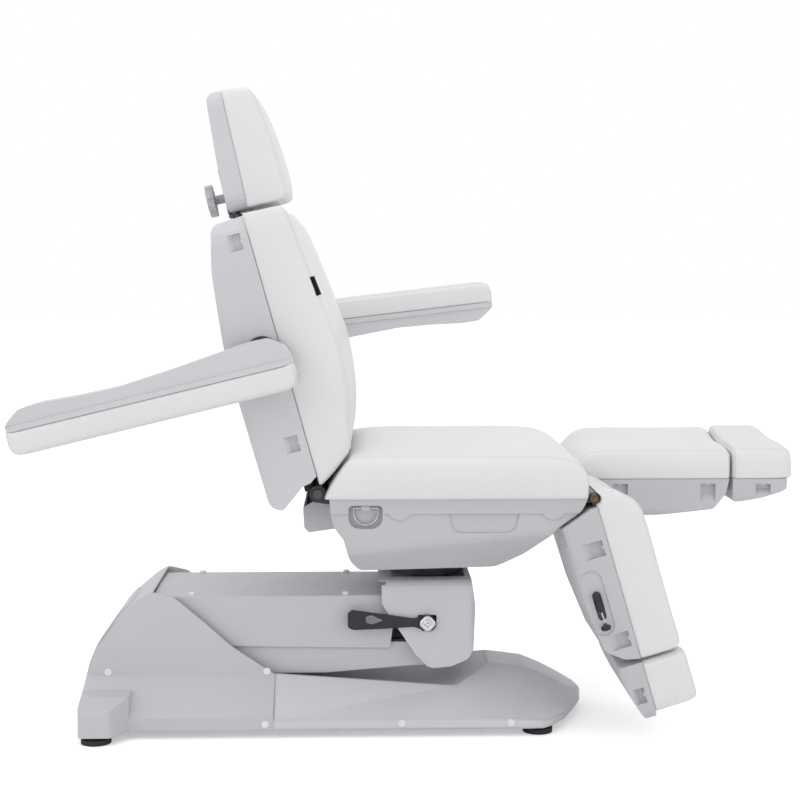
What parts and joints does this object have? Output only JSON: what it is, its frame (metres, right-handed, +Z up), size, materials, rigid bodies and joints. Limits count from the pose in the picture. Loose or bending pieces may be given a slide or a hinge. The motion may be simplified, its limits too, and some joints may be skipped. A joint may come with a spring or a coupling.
{
  "type": "podiatry chair",
  "caption": "Adjustable treatment chair for foot care on a parallelogram lift base, with reclining back, headrest, swing-back armrests and split legrests.",
  "frame": {"origin": "on the floor under the swivel axis, which is within 7 mm of the middle of the bounding box", "axes": "+X from head to feet, +Y to the left of the seated person, +Z up"},
  "size_m": [1.7003, 0.79, 1.3805],
  "materials": {
    "cover_white_abs": "textured moulded ABS",
    "shell_grey_abs": "fine textured ABS",
    "white_vinyl": "coated vinyl upholstery, fine grain",
    "painted_steel": "powder coated",
    "motor_housing": "satin",
    "bright_steel": "polished",
    "black_plastic": "moulded",
    "black_rubber": "matt"
  },
  "bodies": {
    "base": {"base_frame": "painted_steel", "rear_cover": "cover_white_abs", "front_cover": "cover_white_abs", "rear_hatch": "cover_white_abs", "levelling_feet": "black_rubber", "base_screws": "cover_white_abs", "power_inlet": "black_plastic"},
    "lift_arm": {"lift_arm": "painted_steel", "arm_top_cover": "cover_white_abs", "arm_screws": "cover_white_abs"},
    "lift_link": {"lift_link": "painted_steel", "arm_bottom_cover": "cover_white_abs"},
    "lift_motor": {"lift_motor": "motor_housing"},
    "lift_rod": {"lift_rod": "bright_steel"},
    "column": {"column_head": "painted_steel", "column_cover": "cover_white_abs", "turntable_bearing": "painted_steel", "lock_hub": "bright_steel"},
    "lock_lever": {"lock_lever": "black_plastic"},
    "turntable": {"turntable_plate": "painted_steel", "tilt_motor": "motor_housing"},
    "tilt_rod": {"tilt_rod": "bright_steel"},
    "seat": {"seat_frame": "painted_steel", "seat_shell": "shell_grey_abs", "seat_cushion": "white_vinyl", "hinge_motor_cover": "shell_grey_abs", "recline_pins": "bright_steel", "recline_motor": "motor_housing"},
    "strap_ring_right": {"strap_ring_right": "bright_steel"},
    "strap_ring_left": {"strap_ring_left": "bright_steel"},
    "back": {"back_frame": "painted_steel", "back_shell": "shell_grey_abs", "back_cushion": "white_vinyl", "back_screws": "cover_white_abs"},
    "armrest_right": {"armrest_pivot_right": "black_plastic", "armrest_shell_right": "shell_grey_abs", "armrest_pad_right": "white_vinyl"},
    "armrest_left": {"armrest_pivot_left": "black_plastic", "armrest_shell_left": "shell_grey_abs", "armrest_pad_left": "white_vinyl"},
    "head": {"head_hinge": "painted_steel", "head_shell": "shell_grey_abs", "head_cushion": "white_vinyl"},
    "head_knob": {"head_knob": "shell_grey_abs"},
    "leg_right": {"leg_frame_right": "painted_steel", "leg_shell_right": "shell_grey_abs", "leg_cushion_right": "white_vinyl"},
    "leg_lever_right": {"leg_lever_right": "black_plastic"},
    "foot_right": {"foot_rods_right": "bright_steel", "foot_shell_right": "shell_grey_abs", "foot_cushion_right": "white_vinyl"},
    "leg_left": {"leg_frame_left": "painted_steel", "leg_shell_left": "shell_grey_abs", "leg_cushion_left": "white_vinyl"},
    "leg_lever_left": {"leg_lever_left": "black_plastic"},
    "foot_left": {"foot_rods_left": "bright_steel", "foot_shell_left": "shell_grey_abs", "foot_cushion_left": "white_vinyl"}
  },
  "joints": [
    {"name": "lift", "type": "hinge", "parent": "base", "child": "lift_arm", "pos_m": [-0.547, 0, 0.235], "axis": [0, -1, 0], "range_deg": [0, 32]},
    {"name": "lift_link_hinge", "type": "hinge", "parent": "base", "child": "lift_link", "pos_m": [-0.547, 0, 0.159], "axis": [0, -1, 0], "range_deg": [0, 32]},
    {"name": "column_level", "type": "hinge", "parent": "lift_arm", "child": "column", "pos_m": [-0.012, 0, 0.235], "axis": [0, -1, 0], "range_deg": [-32, 0]},
    {"name": "lift_motor_swing", "type": "hinge", "parent": "base", "child": "lift_motor", "pos_m": [-0.452, 0, 0.062], "axis": [0, -1, 0], "range_deg": [0, 28.06]},
    {"name": "lift_rod_slide", "type": "slide", "parent": "lift_motor", "child": "lift_rod", "axis": [0.8901, 0, 0.4557], "range_m": [0, 0.10645]},
    {"name": "seat_swivel", "type": "hinge", "parent": "column", "child": "turntable", "pos_m": [0, 0, 0.357], "axis": [0, 0, 1], "range_deg": [-90, 90]},
    {"name": "lock_lever_turn", "type": "hinge", "parent": "column", "child": "lock_lever", "pos_m": [0, -0.16, 0.23], "axis": [0, 1, 0], "range_deg": [0, 20]},
    {"name": "seat_tilt", "type": "hinge", "parent": "turntable", "child": "seat", "pos_m": [-0.06, 0, 0.403], "axis": [0, -1, 0], "range_deg": [0, 12]},
    {"name": "tilt_rod_slide", "type": "slide", "parent": "turntable", "child": "tilt_rod", "axis": [0, 0, 1], "range_m": [0, 0.0374]},
    {"name": "back_recline", "type": "hinge", "parent": "seat", "child": "back", "pos_m": [-0.235, 0, 0.524], "axis": [0, -1, 0], "range_deg": [0, 74.5]},
    {"name": "armrest_right_swing", "type": "hinge", "parent": "back", "child": "armrest_right", "pos_m": [-0.34596, -0.32, 0.82308], "axis": [0, 1, 0], "range_deg": [0, 186.9]},
    {"name": "armrest_left_swing", "type": "hinge", "parent": "back", "child": "armrest_left", "pos_m": [-0.34596, 0.32, 0.82308], "axis": [0, -1, 0], "range_deg": [0, 186.9]},
    {"name": "headrest_tilt", "type": "hinge", "parent": "back", "child": "head", "pos_m": [-0.41327, 0, 1.1107], "axis": [0, -1, 0], "range_deg": [-8, 35]},
    {"name": "head_knob_turn", "type": "hinge", "parent": "head", "child": "head_knob", "pos_m": [-0.42331, 0, 1.15559], "axis": [0.9759, 0, 0.2181], "continuous": true},
    {"name": "leg_right_raise", "type": "hinge", "parent": "seat", "child": "leg_right", "pos_m": [0.3435, -0.154, 0.519], "axis": [0, -1, 0], "range_deg": [0, 73.6]},
    {"name": "leg_left_lower", "type": "hinge", "parent": "seat", "child": "leg_left", "pos_m": [0.3435, 0.154, 0.519], "axis": [0, 1, 0], "range_deg": [0, 73.6]},
    {"name": "foot_right_slide", "type": "slide", "parent": "leg_right", "child": "foot_right", "axis": [0.2823, 0, -0.9593], "range_m": [0, 0.12]},
    {"name": "foot_left_slide", "type": "slide", "parent": "leg_left", "child": "foot_left", "axis": [1, 0, 0], "range_m": [0, 0.12]},
    {"name": "leg_lever_right_pull", "type": "slide", "parent": "leg_right", "child": "leg_lever_right", "axis": [0.2823, 0, -0.9593], "range_m": [0, 0.008], "stiffness_N_per_m": 600, "springref_m": -0.004},
    {"name": "leg_lever_left_pull", "type": "slide", "parent": "leg_left", "child": "leg_lever_left", "axis": [1, 0, 0], "range_m": [0, 0.008], "stiffness_N_per_m": 600, "springref_m": -0.004},
    {"name": "strap_ring_right_swing", "type": "hinge", "parent": "seat", "child": "strap_ring_right", "pos_m": [-0.13439, -0.2745, 0.49956], "axis": [-1, 0, 0], "range_deg": [0, 90]},
    {"name": "strap_ring_left_swing", "type": "hinge", "parent": "seat", "child": "strap_ring_left", "pos_m": [-0.13439, 0.2745, 0.49956], "axis": [1, 0, 0], "range_deg": [0, 90]}
  ],
  "couplings": [
    {"joint": "lift_link_hinge", "follows": "lift", "ratio": 1},
    {"joint": "column_level", "follows": "lift", "ratio": -1},
    {"joint": "lift_motor_swing", "follows": "lift", "ratio": 0.87529},
    {"joint": "lift_rod_slide", "follows": "lift", "m_per_rad": 0.19042},
    {"joint": "tilt_rod_slide", "follows": "seat_tilt", "m_per_rad": 0.1776}
  ]
}
